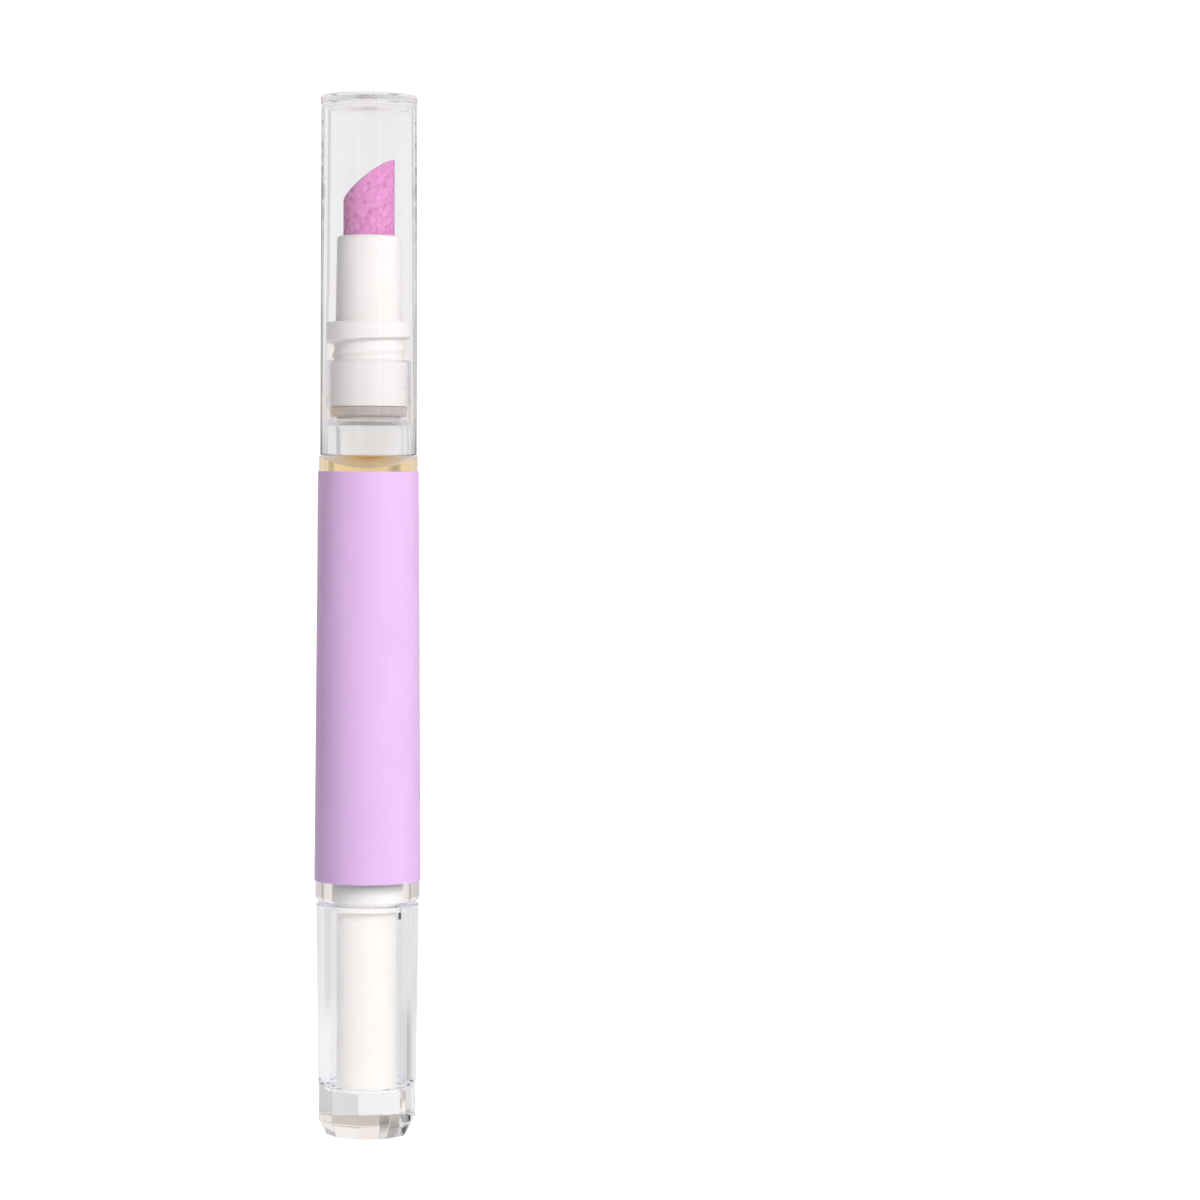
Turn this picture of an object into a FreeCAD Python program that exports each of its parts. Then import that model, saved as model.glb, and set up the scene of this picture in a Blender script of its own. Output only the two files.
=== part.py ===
import FreeCAD, Part
import math
import os

# Twist-up cuticle oil pen, standing on its knob, in millimetres. The origin is the centre of
# the knob's base and +Z runs along the pen to the closed end of the cap. The viewer's side is -Y.

# Fits that several pieces share
press_gap = 0.02
running_gap = 0.06
thrust_gap = 0.15
cut_overrun = 1.0

# Screw rod: double flats let the sleeve turn it, and a button head pushes the piston
stroke = 27.0
rod_radius = 1.8
rod_across_flats = 2.6
rod_play = 0.07
rod_tail_gap = 0.55
rod_neck_radius = 1.0
rod_head_radius = 1.5
rod_head_height = 1.5
rod_edge_rounding = 0.25

# Drive sleeve: the white tube in the clear knob
sleeve_wall = 1.23
sleeve_bore_gap = 0.5
sleeve_seat_depth = 0.4
sleeve_disc_thickness = 0.6
sleeve_disc_sink = 0.1
hub_wall = 0.73
hub_flat_depth = 0.4
hub_rise = 1.7
journal_step = 0.25
key_length = 3.7
key_engagement = 2.0

# Pawl ring: spring arms that click over the fixed teeth
pawl_fit = 0.04
pawl_ring_wall = 0.32
pawl_arm_gap = 0.12
pawl_arm_thickness = 0.2
pawl_tooth_gap = 0.1
pawl_height = 2.6
pawl_top_gap = 0.45
pawl_arm_count = 2
pawl_arm_span = 110.0
pawl_root_span = 24.0
pawl_tip_lag = 1.0
pawl_tip_share = 0.6
pawl_tip_play = 0.07

# Ratchet ring: a bush for the sleeve under a cup of saw teeth
tooth_count = 16
tooth_height = 0.34
ratchet_wall = 0.41
ratchet_recess = 0.3
bush_height = 2.75

# Screw nut
nut_ledge = 0.1
nut_thread_length = 4.15
nut_pocket_gap = 0.3
nut_chamfer = 0.4

# Piston
piston_rest_gap = 0.3
piston_length = 5.7
piston_lip_height = 0.9
piston_waist_depth = 0.45
piston_crown_depth = 0.6
piston_floor = 0.95

# Oil
oil_gap = 0.01
oil_rim_drop = 0.15
meniscus_depth = 1.3

# Barrel: thick clear wall, tapering to the shoulder, then the neck that the cap closes over
barrel_wall = 1.62
barrel_draft = 0.4
barrel_reserve = 6.2
barrel_tail_rounding = 0.45
barrel_shoulder_rounding = 0.12
throat_height = 3.8
throat_rounding = 0.35
neck_length = 11.0
neck_wall = 0.46
neck_step = 0.14
neck_seat_height = 2.5
neck_rim_rounding = 0.15

# Label film
label_thickness = 0.09
label_tail_margin = 2.35
label_neck_margin = 1.8

# Neck plug with its seal
plug_sink = 0.3
plug_bead = 0.05
plug_bead_height = 1.8
plug_stem_step = 0.85
plug_lip_height = 0.25
plug_lip = 0.15
shank_step = 0.5
shank_height = 2.6
flange_thickness = 1.77
flange_gap = 0.06
flange_rounding = 0.2
seal_height = 1.2
seal_floor_gap = 0.7
seal_rounding = 0.4

# Tip holder, pusher tip and feed tube
nib_radius = 2.95
nib_seat_depth = 6.0
nib_rise = 9.0
nib_slope_drop = 4.7
nib_slope_bulge = 0.8
nib_edge_rounding = 0.6
holder_height = 9.93
holder_wall = 0.7
holder_draft = 0.15
holder_rounding = 0.4
holder_spigot_radius = 2.6
holder_spigot_length = 5.2
feed_radius = 0.75
feed_wall = 0.28
feed_reach = 2.4

# Cap
cap_proud = 0.02
cap_wall = 0.49
cap_draft = 0.11
cap_fit = 0.09
cap_step = 0.2
cap_step_drop = 0.4
cap_mouth_gap = 0.05
cap_mouth_rounding = 0.12
cap_end_thickness = 1.05
cap_rim_proud = 0.05
cap_rim_rounding = 0.35
cap_ceiling_rounding = 0.5
nib_headroom = 5.95

# Knob: a round clear grip over a cut block of flats
knob_floor = 5.65
knob_gap = 0.35
knob_rim_step = 0.12
knob_draft = 0.26
knob_bore_gap = 0.87
knob_rim_rounding = 0.15
flat_count = 10
flat_turn = 9.0
flat_height = 4.2
flat_inset = 0.03
bevel_height = 1.8
bevel_inset = 0.86
key_angle = -45.0
key_width = 0.45
key_depth = 0.3
notch_length = 1.5

# Radii, worked outwards from the screw rod
keyed_radius = rod_radius + rod_play
keyed_across_flats = rod_across_flats + 2 * rod_play
sleeve_bore_radius = rod_radius + sleeve_bore_gap
sleeve_radius = sleeve_bore_radius + sleeve_wall
hub_radius = keyed_radius + hub_wall
hub_across_flats = 2 * (hub_radius - hub_flat_depth)
journal_radius = hub_radius + journal_step
bush_radius = journal_radius + running_gap
pawl_bore_radius = hub_radius + pawl_fit
pawl_ring_radius = pawl_bore_radius + pawl_ring_wall
arm_inner_radius = pawl_ring_radius + pawl_arm_gap
arm_outer_radius = arm_inner_radius + pawl_arm_thickness
tooth_tip_radius = arm_outer_radius + pawl_tooth_gap
tooth_root_radius = tooth_tip_radius + tooth_height
ratchet_radius = tooth_root_radius + ratchet_wall
mechanism_bore_radius = ratchet_radius + press_gap
reservoir_radius = mechanism_bore_radius - nut_ledge
piston_radius = reservoir_radius - running_gap
shoulder_radius = reservoir_radius + barrel_wall
tail_radius = shoulder_radius + barrel_draft
cap_mouth_radius = shoulder_radius + cap_proud
cap_bore_radius = cap_mouth_radius - cap_wall
cap_upper_bore_radius = cap_bore_radius - cap_step
neck_seat_radius = cap_bore_radius - cap_fit
neck_radius = neck_seat_radius - neck_step
plug_bore_radius = neck_radius - neck_wall
plug_radius = plug_bore_radius - press_gap
plug_stem_radius = plug_radius - plug_stem_step
holder_bore_radius = nib_radius + press_gap
holder_top_radius = holder_bore_radius + holder_wall
knob_bore_radius = sleeve_radius + knob_bore_gap
knob_rim_radius = tail_radius - knob_rim_step
knob_foot_radius = knob_rim_radius - knob_draft
flat_corner_radius = knob_foot_radius - flat_inset

# Heights, worked upwards from the base: the knob is as long as the stroke needs
ratchet_height = bush_height + thrust_gap + pawl_height + pawl_top_gap
rod_bottom = knob_floor + rod_tail_gap
sleeve_top = rod_bottom + stroke + key_engagement
ratchet_top = sleeve_top - hub_rise
ratchet_bottom = ratchet_top - ratchet_height
bush_top = ratchet_bottom + bush_height
pawl_bottom = bush_top + thrust_gap
barrel_tail = ratchet_bottom - ratchet_recess
knob_length = barrel_tail - knob_gap
nut_pocket_top = sleeve_top + thrust_gap
nut_top = nut_pocket_top + nut_thread_length
piston_bottom = nut_top + piston_rest_gap
piston_top = piston_bottom + piston_length
shoulder_height = piston_top + stroke + barrel_reserve
throat_top = shoulder_height + throat_height
neck_rim = shoulder_height + neck_length
seal_bottom = throat_top + seal_floor_gap
seal_top = seal_bottom + seal_height
plug_bottom = seal_bottom - plug_lip_height
flange_bottom = neck_rim + shank_height
flange_top = flange_bottom + flange_thickness
holder_top = flange_top + holder_height
nib_bottom = holder_top - nib_seat_depth
nib_top = holder_top + nib_rise
cap_mouth = shoulder_height + cap_mouth_gap
cap_ceiling = nib_top + nib_headroom
cap_top = cap_ceiling + cap_end_thickness

origin = FreeCAD.Vector(0, 0, 0)
pen_axis = FreeCAD.Vector(0, 0, 1)


def barrel_radius(height):
    """Outer radius of the tapering barrel at a height."""
    share = (height - barrel_tail) / (shoulder_height - barrel_tail)
    return tail_radius - barrel_draft * share


def cap_draft_at(height):
    """How far the cap's walls have drawn in at a height above the mouth."""
    return cap_draft * (height - cap_mouth) / (cap_ceiling - cap_mouth)


def corner_arc(before, corner, after, rounding):
    """Start, middle and end of the tangent arc that rounds one corner of an outline."""
    back = FreeCAD.Vector(before - corner).normalize()
    ahead = FreeCAD.Vector(after - corner).normalize()
    half_angle = back.getAngle(ahead) / 2
    reach = rounding / math.tan(half_angle)
    inward = FreeCAD.Vector(back + ahead).normalize()
    middle = corner + inward * (rounding / math.sin(half_angle) - rounding)
    return corner + back * reach, middle, corner + ahead * reach


def rounded_face(corners):
    """Face in the XZ plane from (x, z, rounding) corners."""
    points = [FreeCAD.Vector(x, 0, z) for x, z, rounding in corners]
    stretches = []
    for index, (x, z, rounding) in enumerate(corners):
        after = points[(index + 1) % len(points)]
        if rounding:
            stretches.append(corner_arc(points[index - 1], points[index], after, rounding))
        else:
            stretches.append((points[index],))
    edges = []
    for index, stretch in enumerate(stretches):
        edges.append(Part.makeLine(stretches[index - 1][-1], stretch[0]))
        if len(stretch) > 1:
            edges.append(Part.Arc(*stretch).toShape())
    return Part.Face(Part.Wire(edges))


def turned(corners):
    """Solid of revolution about the pen's axis from (radius, height, rounding) corners."""
    return rounded_face(corners).revolve(origin, pen_axis, 360)


def tube(inner, outer, bottom, top):
    """Plain ring between two radii and two heights."""
    return turned([(inner, bottom, 0), (outer, bottom, 0), (outer, top, 0), (inner, top, 0)])


def sector(inner, outer, bottom, height, start, span):
    """Part of a ring that starts at an angle and covers a span, in degrees."""
    wedge = Part.makeCylinder(outer, height, origin, pen_axis, span)
    core = Part.makeCylinder(inner, height + 2 * cut_overrun)
    core.translate(pen_axis * -cut_overrun)
    piece = wedge.cut(core)
    piece.rotate(origin, pen_axis, start)
    piece.translate(pen_axis * bottom)
    return piece


def double_flat(radius, across_flats, bottom, top):
    """Round bar with two flats that face the viewer and the back."""
    bar = Part.makeCylinder(radius, top - bottom)
    slab = Part.makeBox(2 * radius, across_flats, top - bottom)
    slab.translate(FreeCAD.Vector(-radius, -across_flats / 2, 0))
    piece = bar.common(slab)
    piece.translate(pen_axis * bottom)
    return piece


def polar(radius, angle, height):
    """Point at a radius and an angle in degrees from +X."""
    turn = math.radians(angle)
    return FreeCAD.Vector(radius * math.cos(turn), radius * math.sin(turn), height)


def prism(points, height):
    """Upright prism on a flat polygon."""
    return Part.Face(Part.makePolygon(points + points[:1])).extrude(pen_axis * height)


def decagon(corner_radius, height):
    """Closed outline of the knob's flats at one height."""
    pitch = 360 / flat_count
    corners = [polar(corner_radius, flat_turn + pitch * side, height) for side in range(flat_count)]
    return Part.makePolygon(corners + corners[:1])


def knob():
    """Clear grip, bored for the sleeve, with its foot cut into flats over a bevelled base."""
    flats_top = bevel_height + flat_height
    runout = 2 * (knob_rim_radius - flat_corner_radius * math.cos(math.pi / flat_count))
    grip = turned([
        (0, 0, 0),
        (knob_foot_radius, 0, 0),
        (knob_foot_radius, flats_top, 0),
        (knob_rim_radius, knob_length, knob_rim_rounding),
        (0, knob_length, 0),
    ])
    bevel = Part.makeLoft(
        [decagon(flat_corner_radius - bevel_inset, 0), decagon(flat_corner_radius, bevel_height)],
        True,
        True,
    )
    flats = Part.makeLoft(
        [decagon(flat_corner_radius, bevel_height), decagon(flat_corner_radius, flats_top)],
        True,
        True,
    )
    spread = Part.makeLoft(
        [decagon(flat_corner_radius, flats_top), decagon(flat_corner_radius + runout, flats_top + runout)],
        True,
        True,
    )
    above = Part.makeCylinder(knob_rim_radius + cut_overrun, knob_length)
    above.translate(pen_axis * (flats_top + runout))
    body = grip.common(bevel.fuse([flats, spread, above]).removeSplitter())
    bore = turned([
        (0, knob_floor - sleeve_seat_depth, 0),
        (sleeve_radius + press_gap, knob_floor - sleeve_seat_depth, 0),
        (sleeve_radius + press_gap, knob_floor, 0),
        (knob_bore_radius, knob_floor, 0),
        (knob_bore_radius, knob_length + cut_overrun, 0),
        (0, knob_length + cut_overrun, 0),
    ])
    notch = key_bar(key_width + 2 * press_gap, key_depth + press_gap, knob_length - notch_length)
    return body.cut(bore).cut(notch)


def key_bar(width, depth, bottom):
    """Upright bar from the axis through the knob's bore wall, open at the knob's mouth."""
    bar = Part.makeBox(knob_bore_radius + depth, width, knob_length + cut_overrun - bottom)
    bar.translate(FreeCAD.Vector(0, -width / 2, bottom))
    bar.rotate(origin, pen_axis, key_angle)
    return bar


def drive_sleeve():
    """White tube fixed in the knob: a disc keyed in the knob's mouth, a journal and a keyed hub."""
    foot = knob_floor - sleeve_seat_depth
    disc_top = knob_length - sleeve_disc_sink
    disc_bottom = disc_top - sleeve_disc_thickness
    shoulder = ratchet_bottom - thrust_gap
    key_bottom = sleeve_top - key_length
    body = turned([
        (sleeve_bore_radius, foot, 0),
        (sleeve_radius, foot, 0),
        (sleeve_radius, disc_bottom, 0),
        (knob_bore_radius - press_gap, disc_bottom, 0),
        (knob_bore_radius - press_gap, disc_top, 0),
        (sleeve_radius, disc_top, 0),
        (sleeve_radius, shoulder, 0),
        (journal_radius, shoulder, 0),
        (journal_radius, pawl_bottom, 0),
        (hub_radius, pawl_bottom, 0),
        (hub_radius, sleeve_top, 0),
        (0, sleeve_top, 0),
        (0, key_bottom, 0),
        (sleeve_bore_radius, key_bottom, 0),
    ])
    hole = double_flat(
        keyed_radius, keyed_across_flats, key_bottom - cut_overrun, sleeve_top + cut_overrun
    )
    disc_zone = tube(sleeve_radius - press_gap, knob_bore_radius + key_depth, disc_bottom, disc_top)
    key = key_bar(key_width, key_depth, disc_bottom).common(disc_zone)
    hub = double_flat(hub_radius, hub_across_flats, pawl_bottom, sleeve_top)
    round_hub = Part.makeCylinder(hub_radius + cut_overrun, sleeve_top + cut_overrun - pawl_bottom)
    round_hub.translate(pen_axis * pawl_bottom)
    return body.fuse(key).cut(round_hub.cut(hub)).cut(hole).removeSplitter()


def pawl_ring():
    """Ring on the sleeve's hub with spring arms whose tips trail into the ratchet's notches."""
    pitch = 360 / tooth_count
    ring = Part.makeCylinder(pawl_ring_radius, pawl_height)
    ring.translate(pen_axis * pawl_bottom)
    bore = double_flat(
        pawl_bore_radius,
        hub_across_flats + 2 * pawl_fit,
        pawl_bottom - cut_overrun,
        pawl_bottom + pawl_height + cut_overrun,
    )
    arms = []
    for arm in range(pawl_arm_count):
        start = arm * 360 / pawl_arm_count
        reach = sector(
            arm_inner_radius, arm_outer_radius, pawl_bottom, pawl_height, start + pawl_tip_lag, pawl_arm_span
        )
        root_start = start + pawl_tip_lag + pawl_arm_span - pawl_root_span
        root = sector(
            pawl_bore_radius + pawl_ring_wall / 2,
            arm_outer_radius,
            pawl_bottom,
            pawl_height,
            root_start,
            pawl_root_span,
        )
        tip_end = start + pitch * pawl_tip_share
        tip = prism(
            [
                polar(arm_inner_radius, start + pawl_tip_lag, pawl_bottom),
                polar(tooth_root_radius - pawl_tip_play, start + pawl_tip_lag, pawl_bottom),
                polar(arm_outer_radius, tip_end, pawl_bottom),
                polar(arm_inner_radius, tip_end, pawl_bottom),
            ],
            pawl_height,
        )
        arms += [reach, root, tip]
    return ring.fuse(arms).cut(bore).removeSplitter()


def ratchet_ring():
    """Ring pressed into the barrel's tail: a bush below, and above it a cup of saw teeth."""
    pitch = 360 / tooth_count
    body = tube(bush_radius, ratchet_radius, ratchet_bottom, ratchet_top)
    outline = []
    for tooth in range(tooth_count):
        outline.append(polar(tooth_tip_radius, tooth * pitch, bush_top))
        outline.append(polar(tooth_root_radius, tooth * pitch, bush_top))
    return body.cut(prism(outline, ratchet_top + cut_overrun - bush_top))


def screw_nut():
    """Fixed nut against the barrel's ledge, pocketed below for the end of the sleeve."""
    outer = mechanism_bore_radius - press_gap
    bore = rod_radius + rod_play
    pocket = hub_radius + nut_pocket_gap
    return turned([
        (pocket, ratchet_top, 0),
        (outer, ratchet_top, 0),
        (outer, nut_top, 0),
        (bore + nut_chamfer, nut_top, 0),
        (bore, nut_top - nut_chamfer, 0),
        (bore, nut_pocket_top, 0),
        (pocket, nut_pocket_top, 0),
    ])


def screw_rod():
    """Flat-sided rod that the sleeve turns and the nut feeds, with a button head in the piston."""
    thread_top = piston_bottom - thrust_gap
    head_bottom = piston_bottom + piston_floor + running_gap
    bar = double_flat(rod_radius, rod_across_flats, rod_bottom, thread_top)
    head = turned([
        (0, thread_top, 0),
        (rod_neck_radius, thread_top, 0),
        (rod_neck_radius, head_bottom, 0),
        (rod_head_radius, head_bottom, 0),
        (rod_head_radius, head_bottom + rod_head_height, rod_edge_rounding),
        (0, head_bottom + rod_head_height, 0),
    ])
    return bar.fuse(head)


def piston():
    """Plunger with a sealing lip at each end, a dished crown and a socket for the rod's head."""
    waist = piston_radius - piston_waist_depth
    socket_bottom = piston_bottom + piston_floor
    socket_top = socket_bottom + rod_head_height + 2 * running_gap
    socket = rod_head_radius + running_gap
    neck = rod_neck_radius + running_gap
    rim = waist - piston_waist_depth
    return turned([
        (neck, piston_bottom, 0),
        (piston_radius, piston_bottom, 0),
        (piston_radius, piston_bottom + piston_lip_height, 0),
        (waist, piston_bottom + piston_lip_height + piston_waist_depth, 0),
        (waist, piston_top - piston_lip_height - piston_waist_depth, 0),
        (piston_radius, piston_top - piston_lip_height, 0),
        (piston_radius, piston_top, 0),
        (rim, piston_top, 0),
        (rim - piston_crown_depth, piston_top - piston_crown_depth, 0),
        (0, piston_top - piston_crown_depth, 0),
        (0, socket_top, 0),
        (socket, socket_top, 0),
        (socket, socket_bottom, 0),
        (neck, socket_bottom, 0),
    ])


def oil_fill():
    """Oil standing on the piston's crown, with a hollow surface that climbs the wall."""
    radius = reservoir_radius - oil_gap
    waist = piston_radius - piston_waist_depth
    crown = waist - piston_waist_depth
    bottom = piston_top + oil_gap
    rim = shoulder_height - oil_rim_drop
    dip = rim - meniscus_depth
    sphere = (radius ** 2 + meniscus_depth ** 2) / (2 * meniscus_depth)
    half = radius / 2
    half_height = dip + sphere - math.sqrt(sphere ** 2 - half ** 2)
    points = [
        FreeCAD.Vector(0, 0, dip),
        FreeCAD.Vector(0, 0, bottom - piston_crown_depth),
        FreeCAD.Vector(crown - piston_crown_depth, 0, bottom - piston_crown_depth),
        FreeCAD.Vector(crown, 0, bottom),
        FreeCAD.Vector(radius, 0, bottom),
        FreeCAD.Vector(radius, 0, rim),
    ]
    surface = Part.Arc(points[-1], FreeCAD.Vector(half, 0, half_height), points[0]).toShape()
    outline = Part.Wire(Part.makePolygon(points).Edges + [surface])
    return Part.Face(outline).revolve(origin, pen_axis, 360)


def barrel():
    """Clear reservoir tube: open tail, tapering wall, shoulder, and the neck bored for the plug."""
    return turned([
        (mechanism_bore_radius, barrel_tail, 0),
        (tail_radius, barrel_tail, barrel_tail_rounding),
        (shoulder_radius, shoulder_height, barrel_shoulder_rounding),
        (neck_seat_radius, shoulder_height, 0),
        (neck_seat_radius, shoulder_height + neck_seat_height, 0),
        (neck_radius, shoulder_height + neck_seat_height + neck_step, 0),
        (neck_radius, neck_rim, neck_rim_rounding),
        (plug_bore_radius, neck_rim, neck_rim_rounding),
        (plug_bore_radius, throat_top, 0),
        (reservoir_radius, throat_top, throat_rounding),
        (reservoir_radius, nut_top, 0),
        (mechanism_bore_radius, nut_top, 0),
    ])


def label():
    """Film wrapped round the taper, leaving the tail and a ring of oil below the cap in view."""
    bottom = barrel_tail + label_tail_margin
    top = shoulder_height - label_neck_margin
    low = barrel_radius(bottom) + press_gap
    high = barrel_radius(top) + press_gap
    return turned([
        (low, bottom, 0),
        (low + label_thickness, bottom, 0),
        (high + label_thickness, top, 0),
        (high, top, 0),
    ])


def neck_plug():
    """White plug in the neck: sealing bead, shank, and the flange that meets the cap's bore."""
    shank = plug_radius - shank_step
    body_top = neck_rim - plug_sink
    socket = holder_spigot_radius + press_gap
    socket_bottom = flange_top - holder_spigot_length
    feed = feed_radius + press_gap
    bead_top = seal_top + plug_bead_height
    flange = cap_upper_bore_radius - cap_draft_at(flange_top) - flange_gap
    return turned([
        (feed, plug_bottom, 0),
        (plug_stem_radius + plug_lip, plug_bottom, 0),
        (plug_stem_radius, seal_bottom, 0),
        (plug_stem_radius, seal_top, 0),
        (plug_radius, seal_top, 0),
        (plug_radius, bead_top, 0),
        (plug_radius - plug_bead, bead_top + plug_bead, 0),
        (plug_radius - plug_bead, body_top, 0),
        (shank, body_top, 0),
        (shank, flange_bottom, 0),
        (flange, flange_bottom, flange_rounding),
        (flange, flange_top, flange_rounding),
        (socket, flange_top, 0),
        (socket, socket_bottom, 0),
        (feed, socket_bottom, 0),
    ])


def plug_seal_ring():
    """Soft ring on the plug's stem, pressed against the neck's bore."""
    inner = plug_stem_radius + press_gap
    return turned([
        (inner, seal_bottom, 0),
        (plug_radius, seal_bottom, seal_rounding),
        (plug_radius, seal_top, seal_rounding),
        (inner, seal_top, 0),
    ])


def tip_holder():
    """White sleeve on the plug's flange, with a spigot below and a socket for the tip above."""
    base_radius = holder_top_radius + holder_draft
    feed = feed_radius + press_gap
    return turned([
        (feed, flange_top - holder_spigot_length, 0),
        (holder_spigot_radius, flange_top - holder_spigot_length, 0),
        (holder_spigot_radius, flange_top, 0),
        (base_radius, flange_top, 0),
        (holder_top_radius, holder_top, holder_rounding),
        (holder_bore_radius, holder_top, 0),
        (holder_bore_radius, nib_bottom, 0),
        (feed, nib_bottom, 0),
    ])


def pusher_tip():
    """Round porous tip, cut to a slanted, bulging face that pushes back the cuticle."""
    half_width = nib_radius + running_gap
    low_point = FreeCAD.Vector(-half_width, 0, nib_top - nib_slope_drop)
    high_point = FreeCAD.Vector(half_width, 0, nib_top)
    chord = high_point - low_point
    outward = FreeCAD.Vector(-chord.z, 0, chord.x).normalize()
    bulge = low_point + chord / 2 + outward * nib_slope_bulge
    points = [
        high_point,
        FreeCAD.Vector(half_width, 0, nib_bottom),
        FreeCAD.Vector(-half_width, 0, nib_bottom),
        low_point,
    ]
    edges = Part.makePolygon(points).Edges
    edges.append(Part.Arc(low_point, bulge, high_point).toShape())
    side = Part.Face(Part.Wire(edges))
    side.translate(FreeCAD.Vector(0, -half_width, 0))
    slab = side.extrude(FreeCAD.Vector(0, 2 * half_width, 0))
    bar = Part.makeCylinder(nib_radius, nib_rise + nib_seat_depth + cut_overrun)
    bar.translate(pen_axis * nib_bottom)
    hole = Part.makeCylinder(feed_radius + press_gap, feed_reach + cut_overrun)
    hole.translate(pen_axis * (nib_bottom - cut_overrun))
    body = bar.common(slab)
    face_edges = [edge for edge in body.Edges if edge.BoundBox.ZMin > holder_top]
    return body.makeFillet(nib_edge_rounding, face_edges).cut(hole)


def feed_tube():
    """Fine tube that carries oil from the reservoir through plug and holder into the tip."""
    return tube(feed_radius - feed_wall, feed_radius, plug_bottom, nib_bottom + feed_reach - press_gap)


def cap():
    """Clear cap: drafted wall, stepped bore that passes the neck, and a rounded end plate."""
    step = flange_bottom - cap_step_drop
    top_radius = cap_mouth_radius - cap_draft
    rim_radius = top_radius + cap_rim_proud
    return turned([
        (cap_bore_radius, cap_mouth, 0),
        (cap_mouth_radius, cap_mouth, cap_mouth_rounding),
        (top_radius, cap_ceiling, 0),
        (rim_radius, cap_ceiling + cap_rim_proud, 0),
        (rim_radius, cap_top, cap_rim_rounding),
        (0, cap_top, 0),
        (0, cap_ceiling, 0),
        (cap_upper_bore_radius - cap_draft_at(cap_ceiling), cap_ceiling, cap_ceiling_rounding),
        (cap_upper_bore_radius - cap_draft_at(step), step, 0),
        (cap_bore_radius, step - cap_step, 0),
    ])


pieces = {
    "knob": knob,
    "drive_sleeve": drive_sleeve,
    "pawl_ring": pawl_ring,
    "ratchet_ring": ratchet_ring,
    "screw_nut": screw_nut,
    "screw_rod": screw_rod,
    "piston": piston,
    "oil_fill": oil_fill,
    "barrel": barrel,
    "label": label,
    "neck_plug": neck_plug,
    "plug_seal_ring": plug_seal_ring,
    "tip_holder": tip_holder,
    "feed_tube": feed_tube,
    "pusher_tip": pusher_tip,
    "cap": cap,
}

os.makedirs("parts", exist_ok=True)
for name, make in pieces.items():
    make().exportStep(os.path.join("parts", name + ".step"))
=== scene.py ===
import math
import random

import bmesh
import bpy
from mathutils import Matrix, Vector, noise


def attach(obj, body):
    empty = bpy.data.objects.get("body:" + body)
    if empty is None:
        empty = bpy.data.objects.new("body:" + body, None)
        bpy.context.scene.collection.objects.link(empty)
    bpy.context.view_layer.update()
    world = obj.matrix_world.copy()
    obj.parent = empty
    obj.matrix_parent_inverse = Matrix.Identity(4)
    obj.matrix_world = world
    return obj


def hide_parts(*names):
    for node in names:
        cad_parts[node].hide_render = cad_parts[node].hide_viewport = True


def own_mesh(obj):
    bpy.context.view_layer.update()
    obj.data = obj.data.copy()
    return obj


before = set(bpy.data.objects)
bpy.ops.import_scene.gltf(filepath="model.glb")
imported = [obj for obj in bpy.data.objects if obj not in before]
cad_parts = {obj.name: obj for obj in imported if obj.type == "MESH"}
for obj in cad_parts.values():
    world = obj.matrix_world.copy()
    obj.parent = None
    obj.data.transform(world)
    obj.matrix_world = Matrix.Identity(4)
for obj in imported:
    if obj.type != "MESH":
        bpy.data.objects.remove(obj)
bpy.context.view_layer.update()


# Barrel: one thick-walled moulding in clear styrene, tapering from its tail to the shoulder.
# The oil, the nut and the ratchet ring sit in its polished bore, the plug in its thin neck.
MM = 0.001
barrel_tail = 27.25
barrel_shoulder = 78.7
barrel_tail_radius = 6.07
barrel_shoulder_radius = 5.67
tail_bore_radius = 4.15
tail_bore_top = 39.5
reservoir_radius = 4.05
throat_radius = 3.75
throat_bottom = 82.62
throat_top = 82.8
neck_root = 79.4
neck_root_radius = 5.11
neck_radius = 4.97
neck_bore_radius = 4.51
neck_top = 89.7
neck_taper_rounding = 2.0
barrel_corners = [
    (tail_bore_radius, barrel_tail, 0.12),
    (barrel_tail_radius, barrel_tail, 0.45),
    (barrel_shoulder_radius, barrel_shoulder, 0.12),
    (neck_root_radius, barrel_shoulder, 0.06),
    (neck_root_radius, neck_root, neck_taper_rounding),
    (neck_radius, throat_top, neck_taper_rounding),
    (neck_radius, neck_top, 0.15),
    (neck_bore_radius, neck_top, 0.15),
    (neck_bore_radius, throat_top, 0.08),
    (throat_radius, throat_top, 0.06),
    (throat_radius, throat_bottom, 0.06),
    (reservoir_radius, throat_bottom, 0.5),
    (reservoir_radius, tail_bore_top, 0.04),
    (tail_bore_radius, tail_bore_top, 0.04),
]
bubble_x = 4.17
bubble_y = -2.25
bubble_heights_and_radii = [(88.85, 0.15), (87.95, 0.15), (86.35, 0.19)]


def rounded_outline(corners, arc_steps=6):
    """Outline of (radius, height) points from (radius, height, rounding) corners."""
    outline = []
    for here, (radius, height, rounding) in enumerate(corners):
        corner = Vector((radius, height))
        if not rounding:
            outline.append((radius, height))
            continue
        back = (Vector(corners[here - 1][:2]) - corner).normalized()
        ahead = (Vector(corners[(here + 1) % len(corners)][:2]) - corner).normalized()
        half_angle = back.angle(ahead) / 2
        centre = corner + (back + ahead).normalized() * (rounding / math.sin(half_angle))
        start = corner + back * (rounding / math.tan(half_angle)) - centre
        end = corner + ahead * (rounding / math.tan(half_angle)) - centre
        start_angle = math.atan2(start.y, start.x)
        sweep = (math.atan2(end.y, end.x) - start_angle + math.pi) % (2 * math.pi) - math.pi
        for step in range(arc_steps + 1):
            angle = start_angle + sweep * step / arc_steps
            across = centre.x + rounding * math.cos(angle)
            up = centre.y + rounding * math.sin(angle)
            outline.append((across, up))
    return outline


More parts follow.
